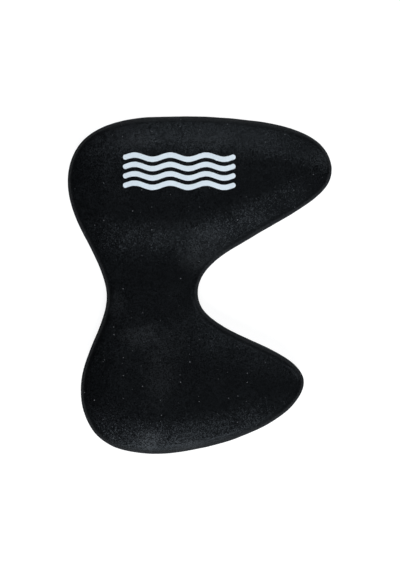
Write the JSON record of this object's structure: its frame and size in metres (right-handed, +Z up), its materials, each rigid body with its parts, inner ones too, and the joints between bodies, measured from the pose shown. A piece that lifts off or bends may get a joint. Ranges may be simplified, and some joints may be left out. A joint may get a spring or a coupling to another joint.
{
  "type": "pull buoy",
  "caption": "Flat foam float for swim training: a wide and a narrow lobe with forward horns, joined by a waisted neck that the thighs grip.",
  "frame": {"origin": "under the middle of the board's box, on the plane of its flat back", "axes": "+Z up out of the printed face, +Y along the board towards the wide lobe, +X the way the two horns point"},
  "size_m": [0.251, 0.32, 0.0402],
  "materials": {
    "face_foam": "matte",
    "core_foam": "matte",
    "back_foam": "matte",
    "adhesive": "satin",
    "print_film": "satin"
  },
  "bodies": {
    "root": {"face_foam_sheet": "face_foam", "core_foam_sheet": "core_foam", "back_foam_sheet": "back_foam", "face_glue_film": "adhesive", "back_glue_film": "adhesive", "printed_mark": "print_film"}
  },
  "joints": []
}
